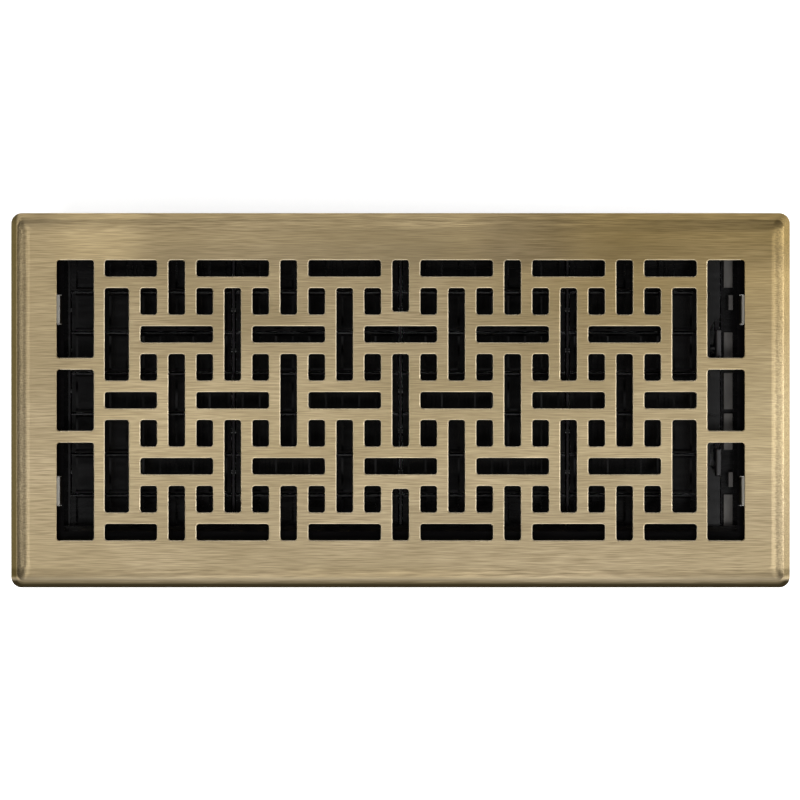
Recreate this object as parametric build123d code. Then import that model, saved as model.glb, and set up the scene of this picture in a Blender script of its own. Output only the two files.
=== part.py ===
from build123d import *
from math import acos, atan, cos, radians, sin, tan
import os

# Floor register: a pressed face plate with a pierced basket-weave pattern, and
# under it a moulded damper box whose five louvres are linked and turn together.
# Millimetres. +X runs along the register, +Y across it, +Z up out of the floor.
# The origin is under the middle of the face plate, level with the box's bottom rim.

# ---- driving dimensions -------------------------------------------------------
FACE_LENGTH = 287.0
FACE_WIDTH = 138.0
FACE_RISE = 5.0              # top of the face above the floor
SHEET = 1.2
TOTAL_HEIGHT = 38.0

DUCT_LENGTH = 254.0          # nominal 4 x 10 inch duct opening
DUCT_WIDTH = 101.6
LENGTH_PLAY = 4.4            # duct opening less the box, so that the tabs still pass
WIDTH_PLAY = 0.6

SKIRT_INSET = 2.6            # steep outer band of the rim, seen from above
SKIRT_RISE = 3.4
SHOULDER_SPAN = 4.8          # rounded shoulder between the skirt and the flat of the face
SHOULDER_STEPS = 6
RIM_CORNER = 3.9
CREASE_CORNER = 2.8
FLAT_CORNER = 1.6

COLUMN_PITCH = 10.275        # basket-weave grid
ROW_PITCH = 12.105
LAST_COLUMN = 10             # columns run from -10 to 10, rows from -4 to 4
LAST_ROW = 4
SLOT = 6.0                   # width of every slot
SMALL_HEIGHT = 9.74
PATTERN_EDGE = 108.6         # outer edge of the woven field
CENTRE_SHORTENING = 1.1      # the middle slots at top and bottom are this much shorter
END_WINDOW_INNER = 112.6
END_WINDOW_OUTER = 126.2
END_MIDDLE_HEIGHT = 22.4
END_BAR = 4.4
WINDOW_CORNER = 1.05
WINDOW_ROUND = 0.4

TAB_WIDTH = 10.4
TAB_OFFSET = 33.4            # tab centres from the middle of the face
TAB_INNER = 124.95
TAB_BOTTOM = 22.0
TAB_CORNER = 1.4             # chamfer at the tab's lower corners
TAB_SINK = 0.3               # the bend starts this far below the top of the face
HOOK_WIDTH = 6.4
HOOK_INNER = 123.5
HOOK_PLAY = 0.2              # between a hook and its slot, all round

AXIS_DEPTH = 11.0            # louvre axes below the top of the face
LOUVRE_COUNT = 5
LOUVRE_PITCH = 15.0
LOUVRE_SHIFT = 3.4           # middle louvre's axis, from the middle of the face
BOX_SHIFT = 2.6              # middle of the box, from the middle of the face
LONG_WALL = 1.5
END_WALL = 1.6
END_WALL_TOP = 1.4           # above the louvre axes
FLANGE_LIFT = 0.1            # underside of the seating flange above the floor
FLANGE_THICKNESS = 1.0
FLANGE_LONG_SIDE = 6.0       # reach beyond the long walls
FLANGE_END = 131.0
FLANGE_END_INNER = 124.0
FLARE = 1.9                  # slope from the low wall out to the flange
UPSTAND = 1.2                # turned-up edge that bears on the face plate
TAB_PLAY = 0.3
WALL_ROUND = 1.2             # upright corners
WALL_CHAMFER = 0.7           # lower rim
MERGE = 0.5                  # how far a moulded-on feature runs into its wall

BAY = 61.7                   # spacing of the middle supports
SUPPORT_THICKNESS = 0.8
SUPPORT_SLOT = 1.7           # gap between neighbouring paddles
SUPPORT_BOTTOM = -6.0        # below the louvre axes

WEB_HALF = 0.6               # louvre web, either side of the axis
PAD_TOP = 2.0                # raised flats of a louvre
LIP_TOP = 3.6
LIP_INNER = 6.1              # lip's faces, from the axis towards +Y
LIP_OUTER = 6.7
LIP_ROUND = 0.22
TAIL = 7.8                   # tail edge, from the axis towards -Y
EDGE_GAP = 0.5               # from a tail to the next lip when closed
PAD_PITCH = 12.28
POCKET_MOUTH = 6.9           # pockets between the flats, along the louvre
POCKET_DRAFT = 26.0          # degrees, all round a pocket
TAIL_RIM = 0.6               # land between a pocket and the tail edge
GROOVE_OFFSET = 0.75         # a pair of grooves along the middle of each flat
GROOVE_WIDTH = 0.4
GROOVE_DEPTH = 0.45
LOUVRE_LEFT = -121.6
LOUVRE_RIGHT = 113.0
END_RIB = 0.5

SHAFT_RADIUS = 1.3
RUNNING_CLEARANCE = 0.05
SHANK = 1.9                  # square end that carries the crank arm

LEFT_RAIL_OUTER = -123.0
LEFT_RAIL_INNER = -122.1
LEFT_RAIL_TOP = 2.4
RIGHT_RAIL_INNER = 113.5
RIGHT_RAIL_WEB = 1.0
RIGHT_RAIL_OUTER = 118.0
FLANGE_BOTTOM = 2.6
POST_PLAY = 0.35             # between a post and the ends of its slot
POST_SLOT_INNER = 113.9
POST_RAMP_START = 116.3      # each slot's outer end slants from here
POST_RAMP = 5.3
SCALLOP_RADIUS = 0.8
SCALLOP_DEPTH = 0.75

CRANK_RADIUS = 3.0
SWING = 80.0                 # degrees from closed to open
CRANK_INNER = 114.8
CRANK_THICKNESS = 1.4
CRANK_HEIGHT = 4.4
PIN_RADIUS = 1.0
PIN_LENGTH = 2.0

BAR_INNER = 116.5
BAR_THICKNESS = 1.7
BAR_HEIGHT = 4.4
BAR_OVERHANG = 3.0
BAR_CORNER = 1.98

POST_LENGTH = 9.9
POST_TOP = 5.6               # above the louvre axes
POST_CENTRES = (21.0, -22.9)
POST_ROUND = 0.6
TENON_LENGTH = 5.0
TENON_WIDTH = 0.7
TENON_DEPTH = 1.2

SHELF_INNER = 118.6
SHELF_TOP = 1.2
SHELF_PAD_INNER = 119.6
SHELF_PAD_OUTER = 122.8
SHELF_PAD_HALF = 6.7
SHELF_PAD_HEIGHT = 1.0
UPRIGHT_INNER = 121.2
UPRIGHT_OUTER = 122.7
UPRIGHT_LENGTH = 5.4
UPRIGHT_HEIGHT = 2.8

SNAP_GRIP = 0.4              # a support's mouth is this much narrower than the shaft
RELIEF_OFFSET = 3.2          # slits either side of each snap jaw
RELIEF_WIDTH = 0.8
RELIEF_HEIGHT = 3.5

GUIDE_WIDTH = 0.8            # ribs on the long walls that locate rails and supports
GUIDE_REACH = 1.3
GUIDE_PLAY = 0.1
GUIDE_TOP = -2.0
STOP_HEIGHT = 1.5

# ---- derived levels and places -------------------------------------------------
FACE_TOP = TOTAL_HEIGHT
FACE_UNDER = FACE_TOP - SHEET
FLOOR = FACE_TOP - FACE_RISE
AXIS_Z = FACE_TOP - AXIS_DEPTH
MIDDLE_LOUVRE = (LOUVRE_COUNT - 1) / 2
PIVOTS = [LOUVRE_SHIFT + (MIDDLE_LOUVRE - i) * LOUVRE_PITCH for i in range(LOUVRE_COUNT)]
BOX_LENGTH = DUCT_LENGTH - LENGTH_PLAY
BOX_WIDTH = DUCT_WIDTH - WIDTH_PLAY
WALL_LOW = BOX_SHIFT - BOX_WIDTH / 2
WALL_HIGH = BOX_SHIFT + BOX_WIDTH / 2
INNER_LOW = WALL_LOW + LONG_WALL
INNER_HIGH = WALL_HIGH - LONG_WALL
BOX_END = BOX_LENGTH / 2
BOX_END_INNER = BOX_END - END_WALL
FIELD_HALF = LAST_ROW * ROW_PITCH + SLOT / 2
SUPPORT_PLACES = (-BAY, 0.0, BAY)
FLANGE_Z = FLOOR + FLANGE_LIFT
FLANGE_TOP = FLANGE_Z + FLANGE_THICKNESS
CRANK_START = radians(SWING / 2)
PIN_Y = -CRANK_RADIUS * sin(CRANK_START)
PIN_Z = -CRANK_RADIUS * cos(CRANK_START)
TOP_LEDGE_EDGE = PIVOTS[0] + LIP_OUTER + EDGE_GAP
BOTTOM_ROW = PIVOTS[-1] - LOUVRE_PITCH


def block(x_range, y_range, z_range):
    """A box between two values on each axis."""
    size = [high - low for low, high in (x_range, y_range, z_range)]
    centre = [(high + low) / 2 for low, high in (x_range, y_range, z_range)]
    return Pos(*centre) * Box(*size)


def rod(x_range, y, z, radius):
    """A cylinder along X."""
    length = x_range[1] - x_range[0]
    return Pos((x_range[0] + x_range[1]) / 2, y, z) * Rot(0, 90, 0) * Cylinder(radius, length)


def level(offset):
    """Height of something measured from the louvre axes."""
    return AXIS_Z + offset


# ---- face plate ------------------------------------------------------------------
# The rim in section: a straight skirt, then an arc that ends level with the flat.
SHOULDER_DROP = FACE_RISE - SKIRT_RISE
SHOULDER_ANGLE = 2 * atan(SHOULDER_DROP / SHOULDER_SPAN)
SHOULDER_RADIUS = SHOULDER_SPAN / sin(SHOULDER_ANGLE)
SKIRT_ANGLE = atan(SKIRT_RISE / SKIRT_INSET)
ARC_INSET = SKIRT_INSET + SHOULDER_SPAN
ARC_Z = FACE_TOP - SHOULDER_RADIUS


def pan_section(inset, corner, z):
    """One horizontal outline of the pressed pan."""
    outline = RectangleRounded(FACE_LENGTH - 2 * inset, FACE_WIDTH - 2 * inset, corner)
    return Plane.XY.offset(z) * outline


def shoulder(radius, start, corners):
    """Solid under the rounded shoulder, from an angle on its arc up to the flat."""
    sections = []
    for step in range(SHOULDER_STEPS + 1):
        share = step / SHOULDER_STEPS
        angle = start * (1 - share)
        corner = corners[0] + (corners[1] - corners[0]) * share
        sections.append(pan_section(ARC_INSET - radius * sin(angle), corner, ARC_Z + radius * cos(angle)))
    return loft(sections)


def pan_outer():
    skirt = loft(
        [pan_section(0, RIM_CORNER, FLOOR), pan_section(SKIRT_INSET, CREASE_CORNER, FLOOR + SKIRT_RISE)],
        ruled=True,
    )
    return skirt + shoulder(SHOULDER_RADIUS, SHOULDER_ANGLE, (CREASE_CORNER, FLAT_CORNER))


def pan_inner():
    """Inside of the pan, one sheet thickness in from the outside."""
    radius = SHOULDER_RADIUS - SHEET
    skirt_distance = SHOULDER_RADIUS * cos(SKIRT_ANGLE - SHOULDER_ANGLE) - SHEET
    start = SKIRT_ANGLE - acos(skirt_distance / radius)
    crease_inset = ARC_INSET - radius * sin(start)
    crease_z = ARC_Z + radius * cos(start)
    corners = (CREASE_CORNER - SHEET, FLAT_CORNER - SHEET / 2)
    skirt = loft(
        [
            pan_section(SHEET / sin(SKIRT_ANGLE), RIM_CORNER - SHEET, FLOOR),
            pan_section(crease_inset, corners[0], crease_z),
        ],
        ruled=True,
    )
    return skirt + shoulder(radius, start, corners)


def column_x(column):
    return column * COLUMN_PITCH


def row_y(row):
    return row * ROW_PITCH


def window_outlines():
    """Every pierced window, as (low x, high x, low y, high y)."""
    half = SLOT / 2
    tall = SMALL_HEIGHT / 2
    odd_columns = range(1 - LAST_COLUMN, LAST_COLUMN, 2)
    windows = []
    for row in (-4, 0, 4):
        y = row_y(row)
        windows.append((-PATTERN_EDGE, column_x(-9) + half, y - half, y + half))
        windows.append((column_x(9) - half, PATTERN_EDGE, y - half, y + half))
        for start in (-7, -3, 1, 5):
            windows.append((column_x(start) - half, column_x(start + 2) + half, y - half, y + half))
    for row in (-2, 2):
        y = row_y(row)
        for start in (-9, -5, -1, 3, 7):
            windows.append((column_x(start) - half, column_x(start + 2) + half, y - half, y + half))
    for row in (-3, -1, 1, 3):
        for column in odd_columns:
            x = column_x(column)
            windows.append((x - half, x + half, row_y(row) - tall, row_y(row) + tall))
    for column in (-8, -4, 0, 4, 8):
        x = column_x(column)
        reach = row_y(3) - tall + (CENTRE_SHORTENING if column == 0 else 0)
        windows.append((x - half, x + half, -FIELD_HALF, -reach))
        windows.append((x - half, x + half, reach, FIELD_HALF))
        windows.append((x - half, x + half, row_y(-1) - tall, row_y(1) + tall))
    for column in (-10, -6, -2, 2, 6, 10):
        low = -PATTERN_EDGE if column == -LAST_COLUMN else column_x(column) - half
        high = PATTERN_EDGE if column == LAST_COLUMN else column_x(column) + half
        for side in (-2, 2):
            windows.append((low, high, row_y(side - 1) - tall, row_y(side + 1) + tall))
    middle = END_MIDDLE_HEIGHT / 2
    for low, high in ((-END_WINDOW_OUTER, -END_WINDOW_INNER), (END_WINDOW_INNER, END_WINDOW_OUTER)):
        windows.append((low, high, -middle, middle))
        windows.append((low, high, middle + END_BAR, FIELD_HALF))
        windows.append((low, high, -FIELD_HALF, -middle - END_BAR))
    return windows


def make_tab(side, y):
    """A lug bent down at a window's outer edge, its tip hooked through the box's end wall."""
    width = (-TAB_WIDTH / 2, TAB_WIDTH / 2)
    bend = block((TAB_INNER, END_WINDOW_OUTER), width, (TAB_BOTTOM, FACE_TOP - TAB_SINK))
    bend = fillet(bend.edges().filter_by(Axis.Y).group_by(Axis.Z)[-1].sort_by(Axis.X)[0], SHEET * 0.75)
    corners = bend.edges().filter_by(Axis.X).group_by(Axis.Z)[0]
    bend = chamfer(corners, TAB_CORNER)
    tip = (-HOOK_WIDTH / 2, HOOK_WIDTH / 2)
    hook = block((HOOK_INNER, TAB_INNER), tip, (TAB_BOTTOM, TAB_BOTTOM + SHEET))
    turn = 0 if side > 0 else 180
    return Rot(0, 0, turn) * (Pos(0, y * side, 0) * (bend + hook))


def make_face_plate():
    plate = pan_outer() - pan_inner()
    outlines = Sketch()
    for low_x, high_x, low_y, high_y in window_outlines():
        place = Pos((low_x + high_x) / 2, (low_y + high_y) / 2)
        outlines += place * RectangleRounded(high_x - low_x, high_y - low_y, WINDOW_CORNER)
    punch = extrude(Plane.XY.offset(FACE_UNDER - 1) * outlines, SHEET + 2)
    plate = plate - punch
    rims = [
        edge
        for edge in plate.edges().filter_by_position(Axis.Z, FACE_TOP - 0.01, FACE_TOP + 0.01)
        if abs(edge.center().X) < END_WINDOW_OUTER + 1 and abs(edge.center().Y) < FIELD_HALF + 1
    ]
    plate = fillet(rims, WINDOW_ROUND)
    for side in (-1, 1):
        for y in (-TAB_OFFSET, TAB_OFFSET):
            plate += make_tab(side, y)
    return plate


# ---- louvres ---------------------------------------------------------------------
def pocket(x_range, y_range):
    """Cutter for a recess with sloping sides, whose mouth spans the two ranges."""
    depth = PAD_TOP - WEB_HALF
    slope = depth * tan(radians(POCKET_DRAFT))
    length = x_range[1] - x_range[0] - 2 * slope
    width = y_range[1] - y_range[0] - 2 * slope
    place = Pos(sum(x_range) / 2, sum(y_range) / 2, level(WEB_HALF))
    return extrude(place * Rectangle(length, width), depth + 0.5, taper=-POCKET_DRAFT)


def corrugation(x_range, y_range):
    """Web with raised flats between recessed pockets, over one stretch of X."""
    low_x, high_x = x_range
    panel = block(x_range, y_range, (level(-WEB_HALF), level(PAD_TOP)))
    first = int((low_x - POCKET_MOUTH) // PAD_PITCH)
    last = int((high_x + POCKET_MOUTH) // PAD_PITCH) + 1
    for index in range(first, last):
        centre = (index + 0.5) * PAD_PITCH
        mouth_low = max(centre - POCKET_MOUTH / 2, low_x + END_RIB)
        mouth_high = min(centre + POCKET_MOUTH / 2, high_x - END_RIB)
        if mouth_high - mouth_low > POCKET_MOUTH / 2:
            panel -= pocket((mouth_low, mouth_high), (y_range[0] + TAIL_RIM, y_range[1]))
        for offset in (-GROOVE_OFFSET, GROOVE_OFFSET):
            groove = index * PAD_PITCH + offset
            if low_x + 1 < groove < high_x - 1:
                panel -= block(
                    (groove - GROOVE_WIDTH / 2, groove + GROOVE_WIDTH / 2),
                    (y_range[0] - 1, y_range[1]),
                    (level(PAD_TOP - GROOVE_DEPTH), level(PAD_TOP + 1)),
                )
    return panel


def lip(x_range, pivot):
    """Upstand along a panel's +Y edge."""
    rail = block(x_range, (pivot + LIP_INNER, pivot + LIP_OUTER), (level(-WEB_HALF), level(LIP_TOP)))
    crest = rail.edges().filter_by(Axis.X).group_by(Axis.Z)[-1]
    return fillet(crest, LIP_ROUND)


def paddle_ranges():
    """X stretches of one louvre, parted at the middle supports."""
    starts = [LOUVRE_LEFT] + [place + SUPPORT_SLOT / 2 for place in SUPPORT_PLACES]
    ends = [place - SUPPORT_SLOT / 2 for place in SUPPORT_PLACES] + [LOUVRE_RIGHT]
    return list(zip(starts, ends))


def make_louvre(pivot):
    solid = None
    for x_range in paddle_ranges():
        paddle = corrugation(x_range, (pivot - TAIL, pivot + LIP_INNER))
        paddle += lip(x_range, pivot)
        solid = paddle if solid is None else solid + paddle
    for place in SUPPORT_PLACES:
        solid += rod((place - SUPPORT_SLOT, place + SUPPORT_SLOT), pivot, AXIS_Z, SHAFT_RADIUS)
    solid += rod((LEFT_RAIL_OUTER, LOUVRE_LEFT + 1), pivot, AXIS_Z, SHAFT_RADIUS)
    solid += rod((LOUVRE_RIGHT - 1, CRANK_INNER), pivot, AXIS_Z, SHAFT_RADIUS)
    solid += block(
        (CRANK_INNER - 0.5, CRANK_INNER + CRANK_THICKNESS),
        (pivot - SHANK / 2, pivot + SHANK / 2),
        (level(-SHANK / 2), level(SHANK / 2)),
    )
    return solid


# ---- linkage -----------------------------------------------------------------------
def side_plane(x):
    """Drawing plane across the register at x: its axes are Y and Z."""
    return Plane(origin=(x, 0, 0), x_dir=(0, 1, 0), z_dir=(1, 0, 0))


def make_crank_arm(pivot):
    """Arm pushed on a louvre's square end, with a pin for the link bar."""
    angle = 270 - SWING / 2
    middle = (pivot + PIN_Y / 2, level(PIN_Z / 2))
    outline = Pos(*middle) * Rot(0, 0, angle) * SlotCenterToCenter(CRANK_RADIUS, CRANK_HEIGHT)
    outline -= Pos(pivot, AXIS_Z) * Rectangle(SHANK, SHANK)
    arm = extrude(side_plane(CRANK_INNER) * outline, CRANK_THICKNESS)
    pin_start = CRANK_INNER + CRANK_THICKNESS
    pin = rod((pin_start - 0.5, pin_start + PIN_LENGTH), pivot + PIN_Y, level(PIN_Z), PIN_RADIUS)
    return arm + pin


def make_link_bar():
    """Bar that ties the five crank pins together and carries the finger posts."""
    low = PIVOTS[-1] + PIN_Y - BAR_OVERHANG
    high = PIVOTS[0] + PIN_Y + BAR_OVERHANG
    outline = RectangleRounded(high - low, BAR_HEIGHT, BAR_CORNER)
    outline = Pos((low + high) / 2, level(PIN_Z)) * outline
    for pivot in PIVOTS:
        outline -= Pos(pivot + PIN_Y, level(PIN_Z)) * Circle(PIN_RADIUS + RUNNING_CLEARANCE)
    bar = extrude(side_plane(BAR_INNER) * outline, BAR_THICKNESS)
    for centre in POST_CENTRES:
        bar -= tenon(centre)
    return bar


def tenon(centre):
    """Tongue under a finger post that sits in the link bar."""
    middle = BAR_INNER + BAR_THICKNESS / 2
    top = level(PIN_Z + BAR_HEIGHT / 2)
    return block(
        (middle - TENON_WIDTH / 2, middle + TENON_WIDTH / 2),
        (centre - TENON_LENGTH / 2, centre + TENON_LENGTH / 2),
        (top - TENON_DEPTH, top),
    )


def make_finger_post(centre):
    """Post that a fingertip pushes through the end window."""
    seat = level(PIN_Z + BAR_HEIGHT / 2)
    post = block(
        (BAR_INNER, BAR_INNER + BAR_THICKNESS),
        (centre - POST_LENGTH / 2, centre + POST_LENGTH / 2),
        (seat, level(POST_TOP)),
    )
    post = fillet(post.faces().sort_by(Axis.Z)[-1].edges(), POST_ROUND)
    return post + tenon(centre)


# ---- bearing rails and middle supports -----------------------------------------------
def make_left_rail():
    """Strip inside the left end wall that carries the louvres' left stubs."""
    thickness = (LEFT_RAIL_OUTER, LEFT_RAIL_INNER)
    rail = block(thickness, (INNER_LOW, INNER_HIGH), (level(SUPPORT_BOTTOM), level(LEFT_RAIL_TOP)))
    for pivot in PIVOTS:
        span = (LEFT_RAIL_OUTER - 1, LEFT_RAIL_INNER + 1)
        rail -= rod(span, pivot, AXIS_Z, SHAFT_RADIUS + RUNNING_CLEARANCE)
    return rail


def post_slots():
    """Openings in the right rail's flange where the finger posts travel."""
    travel = 2 * CRANK_RADIUS * sin(CRANK_START)
    slots = []
    for centre, outer_side in zip(POST_CENTRES, (1, -1)):
        low = centre - POST_LENGTH / 2 - POST_PLAY
        high = centre + POST_LENGTH / 2 + travel + POST_PLAY
        far = high if outer_side > 0 else low
        near = low if outer_side > 0 else high
        points = [
            (POST_SLOT_INNER, near),
            (RIGHT_RAIL_OUTER + 1, near),
            (RIGHT_RAIL_OUTER + 1, far),
            (POST_RAMP_START, far),
            (POST_SLOT_INNER, far - outer_side * POST_RAMP),
        ]
        outline = Plane.XY.offset(level(FLANGE_BOTTOM) - 1) * make_face(Polyline(points, close=True))
        slots.append(extrude(outline, LIP_TOP - FLANGE_BOTTOM + 2))
    return slots


def make_right_rail():
    """Bearing strip with a flange that covers the crank arms."""
    web_outer = RIGHT_RAIL_INNER + RIGHT_RAIL_WEB
    span_y = (INNER_LOW, INNER_HIGH)
    rail = block((RIGHT_RAIL_INNER, web_outer), span_y, (level(SUPPORT_BOTTOM), level(FLANGE_BOTTOM)))
    rail += block((RIGHT_RAIL_INNER, RIGHT_RAIL_OUTER), span_y, (level(FLANGE_BOTTOM), level(LIP_TOP)))
    for pivot in PIVOTS:
        span = (RIGHT_RAIL_INNER - 1, web_outer + 1)
        rail -= rod(span, pivot, AXIS_Z, SHAFT_RADIUS + RUNNING_CLEARANCE)
    for slot in post_slots():
        rail -= slot
    # Small scallops in the edge beside each lip.
    for row in range(LOUVRE_COUNT + 1):
        y = PIVOTS[0] - row * LOUVRE_PITCH + LIP_INNER
        if not any(abs(y - centre) < POST_LENGTH for centre in POST_CENTRES):
            rail -= Pos(RIGHT_RAIL_INNER, y, level(LIP_TOP)) * Cylinder(SCALLOP_RADIUS, 2 * SCALLOP_DEPTH)
    return rail


def make_middle_support(place):
    """Comb clipped up over the louvre shafts, one between each pair of bays."""
    bottom = level(SUPPORT_BOTTOM)
    top = level(LIP_TOP)
    middle = (INNER_LOW + INNER_HIGH) / 2
    outline = Pos(middle, (bottom + top) / 2) * Rectangle(INNER_HIGH - INNER_LOW, top - bottom)
    mouth = 2 * SHAFT_RADIUS - SNAP_GRIP
    for pivot in PIVOTS:
        outline -= Pos(pivot, AXIS_Z) * Circle(SHAFT_RADIUS + RUNNING_CLEARANCE)
        outline -= Pos(pivot, (bottom + AXIS_Z) / 2 - 0.5) * Rectangle(mouth, AXIS_Z - bottom + 1)
        # Relief that lets the two jaws spread over the shaft.
        for side in (-1, 1):
            relief = Rectangle(RELIEF_WIDTH, 2 * RELIEF_HEIGHT)
            outline -= Pos(pivot + side * RELIEF_OFFSET, bottom) * relief
    return extrude(side_plane(place - SUPPORT_THICKNESS / 2) * outline, SUPPORT_THICKNESS)


# ---- damper box --------------------------------------------------------------------
def box_walls():
    """Two long walls up to the seating flange and two lower end walls."""
    walls = block((-BOX_END, BOX_END), (WALL_LOW, WALL_HIGH), (0, FLANGE_TOP))
    verticals = walls.edges().filter_by(Axis.Z)
    walls = fillet(verticals, WALL_ROUND)
    walls = chamfer(walls.faces().sort_by(Axis.Z)[0].edges(), WALL_CHAMFER)
    walls += seating_flange()
    walls -= block((-BOX_END_INNER, BOX_END_INNER), (INNER_LOW, INNER_HIGH), (-1, FLANGE_TOP + 1))
    flare = make_face(
        Polyline(
            (INNER_LOW - FLARE, FLANGE_TOP),
            (INNER_LOW, FLANGE_TOP - FLARE),
            (INNER_LOW + 1, FLANGE_TOP - FLARE),
            (INNER_LOW + 1, FLANGE_TOP),
            close=True,
        )
    )
    walls -= extrude(side_plane(-FLANGE_END_INNER) * flare, 2 * FLANGE_END_INNER)
    # Above the end walls the box is open, and the flange's end strips stand back a little.
    depth = (INNER_LOW, INNER_HIGH)
    walls -= block((-BOX_END - 1, BOX_END + 1), depth, (level(END_WALL_TOP), FLANGE_Z))
    walls -= block((-FLANGE_END_INNER, FLANGE_END_INNER), depth, (FLANGE_Z, FLANGE_TOP + 1))
    return walls


def seating_flange():
    """Rim of the box: it lies on the floor round the duct, its turned-up edge under the face plate."""
    outer_y = (WALL_LOW - FLANGE_LONG_SIDE, WALL_HIGH + FLANGE_LONG_SIDE)
    flange = block((-FLANGE_END, FLANGE_END), outer_y, (FLANGE_Z, FACE_UNDER))
    inner_y = (outer_y[0] + UPSTAND, outer_y[1] - UPSTAND)
    inner_x = (UPSTAND - FLANGE_END, FLANGE_END - UPSTAND)
    flange -= block(inner_x, inner_y, (FLANGE_TOP, FACE_UNDER + 1))
    for side in (-1, 1):
        for y in (-TAB_OFFSET, TAB_OFFSET):
            ends = sorted((side * (TAB_INNER - TAB_PLAY), side * (END_WINDOW_OUTER + TAB_PLAY)))
            half = TAB_WIDTH / 2 + TAB_PLAY
            flange -= block(ends, (y - half, y + half), (FLANGE_Z - 1, FLANGE_TOP + 1))
    return flange


def hook_slots():
    """Slots in the end walls that take the face plate's hooks."""
    half = HOOK_WIDTH / 2 + HOOK_PLAY
    slots = []
    for side in (-1, 1):
        for y in (-TAB_OFFSET, TAB_OFFSET):
            ends = sorted((side * (BOX_END_INNER - 1), side * (BOX_END + 1)))
            height = (TAB_BOTTOM - HOOK_PLAY, TAB_BOTTOM + SHEET + HOOK_PLAY)
            slots.append(block(ends, (y - half, y + half), height))
    return slots


def fixed_ledges():
    """Fixed rows of the same panel pattern along both long walls."""
    ledges = []
    for x_range in paddle_ranges():
        start = LEFT_RAIL_INNER + GUIDE_PLAY if x_range[0] == LOUVRE_LEFT else x_range[0]
        end = RIGHT_RAIL_INNER - GUIDE_PLAY if x_range[1] == LOUVRE_RIGHT else x_range[1]
        stretch = (start, end)
        ledges.append(corrugation(stretch, (TOP_LEDGE_EDGE, INNER_HIGH + MERGE)))
        bottom = corrugation(stretch, (INNER_LOW - MERGE, BOTTOM_ROW + LIP_INNER))
        ledges.append(bottom + lip(stretch, BOTTOM_ROW))
    return ledges


def end_shelf():
    """Shelf inside the right end wall, with stiffening pads and two upright tabs."""
    depth = (INNER_LOW - MERGE, INNER_HIGH + MERGE)
    plate = block((SHELF_INNER, BOX_END_INNER + MERGE), depth, (level(0), level(SHELF_TOP)))
    pad_rows = [PIVOTS[0] + LOUVRE_PITCH] + PIVOTS[1:-1] + [BOTTOM_ROW]
    for y in pad_rows:
        low = max(y - SHELF_PAD_HALF, INNER_LOW)
        high = min(y + SHELF_PAD_HALF, INNER_HIGH)
        height = (level(SHELF_TOP), level(SHELF_TOP + SHELF_PAD_HEIGHT))
        plate += block((SHELF_PAD_INNER, SHELF_PAD_OUTER), (low, high), height)
    for low in (PIVOTS[0], PIVOTS[-1] - UPRIGHT_LENGTH):
        height = (level(SHELF_TOP), level(SHELF_TOP + UPRIGHT_HEIGHT))
        plate += block((UPRIGHT_INNER, UPRIGHT_OUTER), (low, low + UPRIGHT_LENGTH), height)
    return plate


def seats():
    """Stops and guides on the long walls for the rails and middle supports."""
    right_outer = RIGHT_RAIL_INNER + RIGHT_RAIL_WEB
    places = [(LEFT_RAIL_OUTER, LEFT_RAIL_INNER), (RIGHT_RAIL_INNER, right_outer)]
    places += [(x - SUPPORT_THICKNESS / 2, x + SUPPORT_THICKNESS / 2) for x in SUPPORT_PLACES]
    bottom = level(SUPPORT_BOTTOM)
    rib_height = (bottom, level(GUIDE_TOP))
    reach = GUIDE_PLAY + GUIDE_WIDTH
    pieces = []
    for wall, inward in ((INNER_LOW, 1), (INNER_HIGH, -1)):
        y_range = sorted((wall - inward * MERGE, wall + inward * GUIDE_REACH))
        for low, high in places:
            stop_low = max(low - reach, -BOX_END_INNER - MERGE)
            pieces.append(block((stop_low, high + reach), y_range, (bottom - STOP_HEIGHT, bottom)))
            pieces.append(block((high + GUIDE_PLAY, high + reach), y_range, rib_height))
            if low - reach > -BOX_END_INNER:
                pieces.append(block((low - reach, low - GUIDE_PLAY), y_range, rib_height))
    return pieces


def make_damper_box():
    box = box_walls()
    for piece in fixed_ledges():
        box += piece
    box += end_shelf()
    for piece in seats():
        box += piece
    for slot in hook_slots():
        box -= slot
    return box


# ---- write one file per piece ------------------------------------------------------------
def save(shape, node):
    export_step(shape, f"parts/{node}.step")


os.makedirs("parts", exist_ok=True)
save(make_face_plate(), "face_plate")
save(make_damper_box(), "damper_box")
save(make_left_rail(), "left_rail")
save(make_right_rail(), "right_rail")
for number, place in enumerate(SUPPORT_PLACES, start=1):
    save(make_middle_support(place), f"middle_support_{number}")
for number, pivot in enumerate(PIVOTS, start=1):
    save(make_louvre(pivot), f"louvre_{number}")
    save(make_crank_arm(pivot), f"crank_arm_{number}")
save(make_link_bar(), "link_bar")
for number, centre in enumerate(POST_CENTRES, start=1):
    save(make_finger_post(centre), f"finger_post_{number}")
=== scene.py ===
from math import cos, radians, sin

import bpy
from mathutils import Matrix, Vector


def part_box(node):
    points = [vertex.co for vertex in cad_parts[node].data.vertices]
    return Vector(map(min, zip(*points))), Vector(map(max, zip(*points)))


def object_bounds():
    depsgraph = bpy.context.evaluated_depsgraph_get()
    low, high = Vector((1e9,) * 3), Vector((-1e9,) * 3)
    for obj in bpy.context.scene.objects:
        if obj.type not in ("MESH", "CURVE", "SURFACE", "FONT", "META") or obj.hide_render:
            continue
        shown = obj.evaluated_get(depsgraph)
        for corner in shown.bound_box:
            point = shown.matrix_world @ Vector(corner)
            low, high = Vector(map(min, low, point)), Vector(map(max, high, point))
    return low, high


# Looks of a floor register: brushed antique brass over satin black mouldings.
# Metres, in the part's own frame: +X along the register, +Y across it, +Z up.

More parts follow.
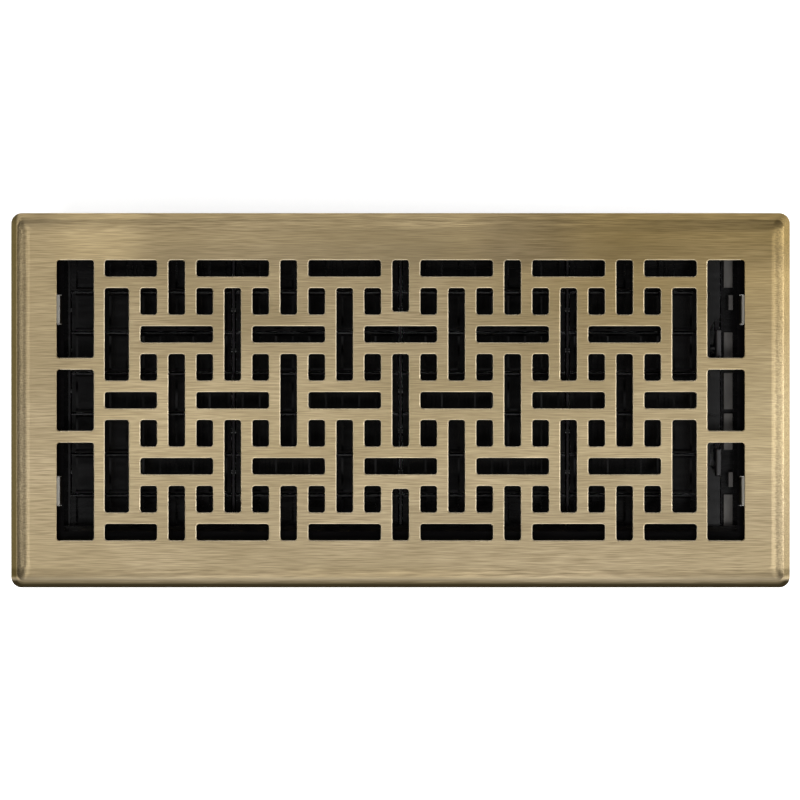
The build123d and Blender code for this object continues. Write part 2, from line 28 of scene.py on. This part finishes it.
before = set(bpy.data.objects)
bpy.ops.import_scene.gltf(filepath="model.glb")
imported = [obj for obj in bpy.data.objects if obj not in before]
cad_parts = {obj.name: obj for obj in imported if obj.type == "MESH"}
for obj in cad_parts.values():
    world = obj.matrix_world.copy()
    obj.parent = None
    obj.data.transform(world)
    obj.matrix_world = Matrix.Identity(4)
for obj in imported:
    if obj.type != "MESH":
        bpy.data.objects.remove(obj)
cad_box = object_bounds()

# ---- places taken from the frame ----------------------------------------------
FACE_LOW, FACE_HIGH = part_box("face_plate")
FACE_LENGTH = FACE_HIGH.x - FACE_LOW.x
FACE_TOP = FACE_HIGH.z
RIM_RISE = 0.005                      # top of the face above its folded edge
RIM_LEVEL = FACE_TOP - RIM_RISE

RIM_BAND = 0.003                      # width of the rim's steep outer band
RIM_WIDTH = 0.009                     # folded edge to the flat of the face
TAB_PLACE = (0.1256, 0.0334)          # crimp tabs, as distances from the middle in X and Y
TAB_HALF = (0.0007, 0.0053)
PAD_MIDDLE = (0.1212, 0.0300)         # the finger end's slide pads, in X and Z
PAD_HALF = (0.0017, 0.0016)

# ---- camera -----------------------------------------------------------------------
CAMERA_HEIGHT = 1.1                   # above the folded edge of the rim
SENSOR = 36.0                         # millimetres
FRAMED_WIDTH = FACE_LENGTH * 1.0275   # what the picture shows, at the rim's level
CAMERA_OFFSET = (-0.0002, 0.0001)


def make_camera():
    data = bpy.data.cameras.new("camera")
    data.sensor_width = SENSOR
    data.lens = SENSOR * CAMERA_HEIGHT / FRAMED_WIDTH
    data.clip_start = 0.05
    data.clip_end = 20.0
    camera = bpy.data.objects.new("camera", data)
    camera.location = (*CAMERA_OFFSET, RIM_LEVEL + CAMERA_HEIGHT)
    bpy.context.scene.collection.objects.link(camera)
    bpy.context.scene.camera = camera


# ---- light ---------------------------------------------------------------------------
SOFTBOX_DISTANCE = 1.5
SOFTBOX_SIZE = 0.45
ROOM_LIGHT = 0.03
PAPER_GLOW = 0.55                     # of the floor, as pale paper on a lit table
# azimuth from +X and elevation in degrees, power in watts: a broad soft tent, brightest
# from the front, with low boxes on the right for that edge of the rim
SOFTBOXES = (
    (0, 12, 6.6),
    (0, 35, 3.1),
    (90, 35, 2.0),
    (180, 35, 2.2),
    (0, 58, 3.1),
    (90, 58, 1.2),
    (135, 58, 2.9),
    (225, 58, 6.2),
    (270, 58, 6.6),
    (315, 58, 6.5),
)


def softbox(azimuth, elevation, power):
    """A square area light that faces the middle of the register."""
    data = bpy.data.lights.new("softbox", "AREA")
    data.shape = "SQUARE"
    data.size = SOFTBOX_SIZE
    data.energy = power
    lamp = bpy.data.objects.new(data.name, data)
    middle = Vector((0, 0, FACE_TOP))
    outward = Vector((cos(azimuth) * cos(elevation), sin(azimuth) * cos(elevation), sin(elevation)))
    lamp.location = middle + outward * SOFTBOX_DISTANCE
    lamp.rotation_mode = "QUATERNION"
    lamp.rotation_quaternion = (-outward).to_track_quat("-Z", "Y")
    bpy.context.scene.collection.objects.link(lamp)


def make_lights():
    for azimuth, elevation, power in SOFTBOXES:
        softbox(radians(azimuth), radians(elevation), power)
    world = bpy.data.worlds.new("studio")
    world.use_nodes = True
    background = world.node_tree.nodes["Background"]
    background.inputs["Color"].default_value = (1, 1, 1, 1)
    # the room gives little light, and beyond the floor it looks as pale as the paper does
    seen = world.node_tree.nodes.new("ShaderNodeLightPath").outputs["Is Camera Ray"]
    strength = world.node_tree.nodes.new("ShaderNodeMapRange")
    strength.inputs["To Min"].default_value = ROOM_LIGHT
    strength.inputs["To Max"].default_value = PAPER_GLOW + ROOM_LIGHT
    world.node_tree.links.new(seen, strength.inputs["Value"])
    world.node_tree.links.new(strength.outputs[0], background.inputs["Strength"])
    bpy.context.scene.world = world
    bpy.context.scene.view_settings.view_transform = "Standard"


# ---- materials --------------------------------------------------------------------------
BLACK = ((0.0006, 0.0005, 0.0006), (0.0014, 0.0011, 0.0013))
RAIL_BLACK = ((0.0008, 0.0007, 0.0008), (0.0018, 0.0015, 0.0016))
POST_BLACK = ((0.010, 0.009, 0.010), (0.016, 0.014, 0.015))
SLOPE, FLAT = 0.80, 0.97              # how far a surface's normal points up on each
POLISH = -0.18                        # of the slopes, as a change of roughness
PAD_WEAR = 0.15
FLANGE_GLOSS = -0.1


class Finish:
    """A material's node tree, with short calls for the nodes used here."""

    def __init__(self, name):
        self.material = bpy.data.materials.new(name)
        self.material.use_nodes = True
        self.nodes = self.material.node_tree.nodes
        self.links = self.material.node_tree.links
        self.shader = self.nodes["Principled BSDF"]
        self.place = self.nodes.new("ShaderNodeTexCoord").outputs["Object"]

    def set(self, **values):
        for name, value in values.items():
            self.shader.inputs[name.replace("_", " ")].default_value = value

    def drive(self, socket, source):
        self.links.new(source, self.shader.inputs[socket])

    def feed(self, node, socket, value):
        """Give a node's input a constant or another node's output."""
        if isinstance(value, bpy.types.NodeSocket):
            self.links.new(value, node.inputs[socket])
        else:
            node.inputs[socket].default_value = value

    def math(self, operation, first, second=0.0, third=0.0):
        node = self.nodes.new("ShaderNodeMath")
        node.operation = operation
        for index, value in enumerate((first, second, third)):
            self.feed(node, index, value)
        return node.outputs[0]

    def noise(self, scale, detail=3.0, roughness=0.55, shift=(0.0, 0.0, 0.0)):
        """Noise stretched to so many periods a metre along X, Y and Z."""
        mapping = self.nodes.new("ShaderNodeMapping")
        self.links.new(self.place, mapping.inputs["Vector"])
        mapping.inputs["Scale"].default_value = scale
        mapping.inputs["Location"].default_value = shift
        node = self.nodes.new("ShaderNodeTexNoise")
        self.links.new(mapping.outputs[0], node.inputs["Vector"])
        node.inputs["Scale"].default_value = 1.0
        node.inputs["Detail"].default_value = detail
        node.inputs["Roughness"].default_value = roughness
        return node.outputs["Fac"]

    def spread(self, value, low, high, to_low=0.0, to_high=1.0):
        """Stretch a value's range from low..high to to_low..to_high, and hold it there."""
        node = self.nodes.new("ShaderNodeMapRange")
        node.clamp = True
        self.links.new(value, node.inputs["Value"])
        for name, number in (("From Min", low), ("From Max", high), ("To Min", to_low), ("To Max", to_high)):
            node.inputs[name].default_value = number
        return node.outputs[0]

    def patch(self, x, y, middle, front, half):
        """Soft patch from y = front towards the back, out to half either side of x = middle."""
        away = self.math("ABSOLUTE", self.math("SUBTRACT", x, middle))
        beside = self.spread(away, half, half + 0.012, 1.0, 0.0)
        behind = self.spread(y, front, front + 0.006)
        return self.math("MULTIPLY", beside, behind)

    def mix(self, amount, first, second, kind="MIX"):
        node = self.nodes.new("ShaderNodeMix")
        node.data_type = "RGBA"
        node.blend_type = kind
        self.feed(node, "Factor", amount)
        for index, value in ((6, first), (7, second)):
            if isinstance(value, tuple):
                value = (*value, 1.0)
            self.feed(node, index, value)
        return node.outputs[2]

    def parts(self, vector):
        node = self.nodes.new("ShaderNodeSeparateXYZ")
        self.links.new(vector, node.inputs[0])
        return node.outputs

    def bump(self, height, distance, strength=1.0, normal=None):
        node = self.nodes.new("ShaderNodeBump")
        node.inputs["Strength"].default_value = strength
        node.inputs["Distance"].default_value = distance
        self.links.new(height, node.inputs["Height"])
        if normal is not None:
            self.links.new(normal, node.inputs["Normal"])
        return node.outputs[0]


def brushed_brass():
    """Antique brass plating, brushed along the register and lacquered, over a steel pressing."""
    finish = Finish("antique_brass")
    x, y, z = finish.parts(finish.place)
    hair = finish.noise((110, 2900, 2900), detail=1.0)
    stroke = finish.noise((34, 950, 950), detail=1.0, shift=(3.1, 0.4, 0.0))
    cloud = finish.noise((13, 30, 30), detail=3.0, shift=(7.7, 2.3, 0.0))

    tone = finish.mix(finish.spread(cloud, 0.35, 0.65), (0.385, 0.307, 0.180), (0.490, 0.397, 0.252))
    tone = finish.mix(finish.spread(stroke, 0.32, 0.68, 0.0, 0.40), tone, (0.27, 0.213, 0.122))
    tone = finish.mix(finish.spread(hair, 0.32, 0.68, 0.0, 0.72), tone, (0.19, 0.146, 0.082))

    # the tone turns more olive and darker towards the back, most of all at the right
    back = finish.spread(y, 0.0, 0.06)
    right = finish.spread(x, 0.01, 0.08, 0.3, 1.0)
    olive = finish.math("MULTIPLY", back, right)
    tone = finish.mix(olive, tone, (1.0, 0.91, 0.64), "MULTIPLY")
    corner = finish.math("MULTIPLY", finish.spread(y, 0.046, 0.058), finish.spread(x, 0.02, 0.08))
    tone = finish.mix(corner, tone, (0.78, 0.78, 0.78), "MULTIPLY")

    # broad tone along the face: brighter across the middle, a painted highlight for the front lamps'
    # reflection, darker in a strip behind the weave, and one darker patch and one lighter patch at the back,
    # the lighter one a painted highlight
    middle = finish.spread(finish.math("ABSOLUTE", finish.math("ADD", y, 0.008)), 0.008, 0.034, 1.0, 0.0)
    middle = finish.math("MULTIPLY", middle, finish.spread(x, -0.125, -0.110))
    tone = finish.mix(middle, tone, (1.22, 1.22, 1.19), "MULTIPLY")
    strip = finish.math("MULTIPLY", finish.spread(y, 0.046, 0.050), finish.spread(y, 0.054, 0.060, 1.0, 0.0))
    strip = finish.math("MULTIPLY", strip, finish.spread(x, -0.105, -0.085))
    tone = finish.mix(strip, tone, (0.86, 0.86, 0.87), "MULTIPLY")
    tone = finish.mix(finish.patch(x, y, 0.046, 0.046, 0.010), tone, (0.80, 0.80, 0.83), "MULTIPLY")
    # painted highlight: the lighter patch at the back left
    tone = finish.mix(finish.patch(x, y, -0.111, 0.048, 0.008), tone, (1.27, 1.27, 1.26), "MULTIPLY")

    # painted shade low on the rim at the left and the front, standing in for the dark surroundings these
    # steep bands reflect
    left_rim_painted_shade = finish.spread(x, -FACE_HIGH.x + 0.0020, -FACE_HIGH.x + 0.0028, 0.85, 0.0)
    under_shoulder = finish.spread(z, RIM_LEVEL + 0.0034, RIM_LEVEL + 0.0042, 1.0, 0.0)
    left_rim_painted_shade = finish.math("MULTIPLY", left_rim_painted_shade, under_shoulder)
    front_rim_painted_shade = finish.spread(y, -FACE_HIGH.y + RIM_BAND, -FACE_HIGH.y + RIM_BAND + 0.0005, 1.0, 0.0)
    low_on_band = finish.spread(z, RIM_LEVEL + 0.0016, RIM_LEVEL + 0.0040, 1.0, 0.0)
    front_rim_painted_shade = finish.math("MULTIPLY", front_rim_painted_shade, low_on_band)
    tone = finish.mix(left_rim_painted_shade, tone, (0.040, 0.030, 0.006))
    tone = finish.mix(front_rim_painted_shade, tone, (0.020, 0.015, 0.008))

    # along the front the shoulder has a painted highlight low down and painted shade at its crest
    low = finish.math("MULTIPLY", finish.spread(y, -FACE_HIGH.y + 0.0024, -FACE_HIGH.y + 0.0030),
                      finish.spread(y, -FACE_HIGH.y + 0.0036, -FACE_HIGH.y + 0.0042, 0.25, 0.0))
    tone = finish.mix(low, tone, (0.66, 0.55, 0.38))
    # painted shade along the front crest
    crest = finish.math("MULTIPLY", finish.spread(y, -FACE_HIGH.y + 0.0040, -FACE_HIGH.y + 0.0050),
                        finish.spread(y, -FACE_HIGH.y + 0.0066, -FACE_HIGH.y + 0.0078, 1.0, 0.0))
    tone = finish.mix(crest, tone, (0.54, 0.53, 0.51), "MULTIPLY")

    # a painted highlight runs along the punched edges of the windows, a thin light line
    inside_x = finish.math("LESS_THAN", finish.math("ABSOLUTE", x), TAB_PLACE[0] - TAB_HALF[0])
    inside_y = finish.math("LESS_THAN", finish.math("ABSOLUTE", y), FACE_HIGH.y - RIM_WIDTH)
    painted_window_highlight = finish.math("MULTIPLY", inside_x, inside_y)
    painted_window_highlight = finish.math("MULTIPLY", painted_window_highlight, finish.spread(z, FACE_TOP - 0.00008, FACE_TOP - 0.00001, 0.8, 0.0))
    tone = finish.mix(painted_window_highlight, tone, (0.95, 0.84, 0.62))

    # the crimp tabs are cut edges of the bare sheet
    tab_x = finish.math("COMPARE", finish.math("ABSOLUTE", x), TAB_PLACE[0], TAB_HALF[0])
    tab_y = finish.math("COMPARE", finish.math("ABSOLUTE", y), TAB_PLACE[1], TAB_HALF[1])
    below = finish.math("LESS_THAN", z, FACE_TOP - 0.00005)
    tab = finish.math("MULTIPLY", finish.math("MULTIPLY", tab_x, tab_y), below)
    tone = finish.mix(tab, tone, (0.18, 0.17, 0.15))
    finish.drive("Base Color", tone)

    rough = finish.spread(hair, 0.3, 0.7, 0.37, 0.47)
    rough = finish.math("ADD", rough, finish.spread(cloud, 0.3, 0.7, -0.02, 0.02))
    finish.drive("Roughness", rough)
    grain = finish.bump(hair, 0.000012)
    grain = finish.bump(stroke, 0.00002, normal=grain)
    finish.drive("Normal", grain)
    across = finish.nodes.new("ShaderNodeCombineXYZ")
    across.inputs["Y"].default_value = 1.0
    finish.drive("Tangent", across.outputs[0])
    finish.set(Metallic=1.0, Anisotropic=0.6, Specular_Tint=(0.8, 0.7, 0.5, 1.0))
    finish.set(Coat_Weight=0.05, Coat_Roughness=0.3)
    return finish


def moulded_plastic(name, dark, light, roughness, specular):
    """Satin black moulding with a fine spark-eroded grain and faint flow marks."""
    finish = Finish(name)
    cloud = finish.noise((30, 30, 30), detail=2.0)
    grain = finish.noise((5000, 5000, 5000), detail=2.0)
    flow = finish.noise((60, 500, 500), detail=2.0, shift=(1.7, 0.0, 0.0))
    finish.drive("Base Color", finish.mix(finish.spread(cloud, 0.3, 0.7), dark, light))
    finish.drive("Roughness", finish.spread(flow, 0.3, 0.7, roughness - 0.03, roughness + 0.03))
    finish.drive("Normal", finish.bump(grain, 0.00001))
    finish.set(IOR=1.5, Specular_IOR_Level=specular)
    return finish


def louvre_plastic():
    """The louvres' moulding: textured flats, and polished slopes on the sides of the pockets."""
    finish = moulded_plastic("louvre_plastic", *BLACK, roughness=0.24, specular=0.28)
    # this normal is in the louvre's own space, so the polish turns with it
    _, _, upward = finish.parts(finish.nodes.new("ShaderNodeTexCoord").outputs["Normal"])
    steep = finish.spread(finish.math("ABSOLUTE", upward), SLOPE, FLAT, POLISH, 0.0)
    rough = finish.shader.inputs["Roughness"].links[0].from_socket
    finish.drive("Roughness", finish.math("ADD", rough, steep))
    return finish


def box_plastic():
    """The box's moulding: the finger end's slide pads are lighter and rougher, the flange is glossier."""
    finish = moulded_plastic("box_plastic", *BLACK, roughness=0.27, specular=0.21)
    x, _, z = finish.parts(finish.place)
    base = finish.shader.inputs["Base Color"].links[0].from_socket
    rough = finish.shader.inputs["Roughness"].links[0].from_socket
    pad = finish.math("COMPARE", x, PAD_MIDDLE[0], PAD_HALF[0])
    pad = finish.math("MULTIPLY", pad, finish.math("COMPARE", z, PAD_MIDDLE[1], PAD_HALF[1]))
    scuff = finish.spread(finish.noise((400, 90, 90), detail=4.0), 0.35, 0.65)
    pad_tone = finish.mix(scuff, (0.030, 0.027, 0.025), (0.060, 0.056, 0.052))
    flange = finish.math("GREATER_THAN", z, RIM_LEVEL)
    rough = finish.math("ADD", rough, finish.math("MULTIPLY", pad, PAD_WEAR))
    rough = finish.math("ADD", rough, finish.math("MULTIPLY", flange, FLANGE_GLOSS))
    finish.drive("Base Color", finish.mix(pad, base, pad_tone))
    finish.drive("Roughness", rough)
    return finish


def paint(finish, *names):
    for name in names:
        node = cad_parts[name]
        for slot in node.material_slots:
            slot.material = finish.material
        if not node.material_slots:
            node.data.materials.append(finish.material)


def paint_frame():
    names = list(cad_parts)
    supports = [name for name in names if name.startswith("middle_support")]
    louvres = [name for name in names if name.startswith("louvre")]
    cranks = [name for name in names if name.startswith("crank_arm")]
    posts = [name for name in names if name.startswith("finger_post")]
    rail = moulded_plastic("rail_plastic", *RAIL_BLACK, roughness=0.30, specular=0.35)
    louvre = louvre_plastic()
    link = moulded_plastic("link_plastic", *BLACK, roughness=0.28, specular=0.35)
    post = moulded_plastic("post_plastic", *POST_BLACK, roughness=0.45, specular=0.4)
    paint(brushed_brass(), "face_plate")
    paint(box_plastic(), "damper_box")
    paint(rail, "left_rail", "right_rail", *supports)
    paint(louvre, *louvres)
    paint(link, "link_bar", *cranks)
    paint(post, *posts)


# ---- floor ---------------------------------------------------------------------------------
FLOOR_HALF = 8.0
FLOOR_GAP = 0.0002                    # under the box, so that the two don't lie in one plane
GLOW_INSET = (0.012, 0.009)           # from the face's edge in to where the paper stops glowing


def make_floor():
    mesh = bpy.data.meshes.new("floor")
    level = cad_box[0].z - FLOOR_GAP
    corners = [(x, y, level) for x, y in ((-1, -1), (1, -1), (1, 1), (-1, 1))]
    corners = [(x * FLOOR_HALF, y * FLOOR_HALF, z) for x, y, z in corners]
    mesh.from_pydata(corners, [], [(0, 1, 2, 3)])
    floor = bpy.data.objects.new("floor", mesh)
    bpy.context.scene.collection.objects.link(floor)
    finish = Finish("floor_paper")
    fibre = finish.spread(finish.noise((900, 900, 900), detail=3.0), 0.3, 0.7)
    finish.drive("Base Color", finish.mix(fibre, (0.90, 0.90, 0.90), (0.94, 0.94, 0.94)))
    finish.set(Roughness=0.9, Specular_IOR_Level=0.1, Emission_Color=(1, 1, 1, 1))
    # the paper glows faintly, as on a lit table, except where the register covers it
    x, y, _ = finish.parts(finish.place)
    beyond_x = finish.math("GREATER_THAN", finish.math("ABSOLUTE", x), FACE_HIGH.x - GLOW_INSET[0])
    beyond_y = finish.math("GREATER_THAN", finish.math("ABSOLUTE", y), FACE_HIGH.y - GLOW_INSET[1])
    beyond = finish.math("MAXIMUM", beyond_x, beyond_y)
    finish.drive("Emission Strength", finish.math("MULTIPLY", beyond, PAPER_GLOW))
    mesh.materials.append(finish.material)


make_camera()
make_lights()
paint_frame()
make_floor()
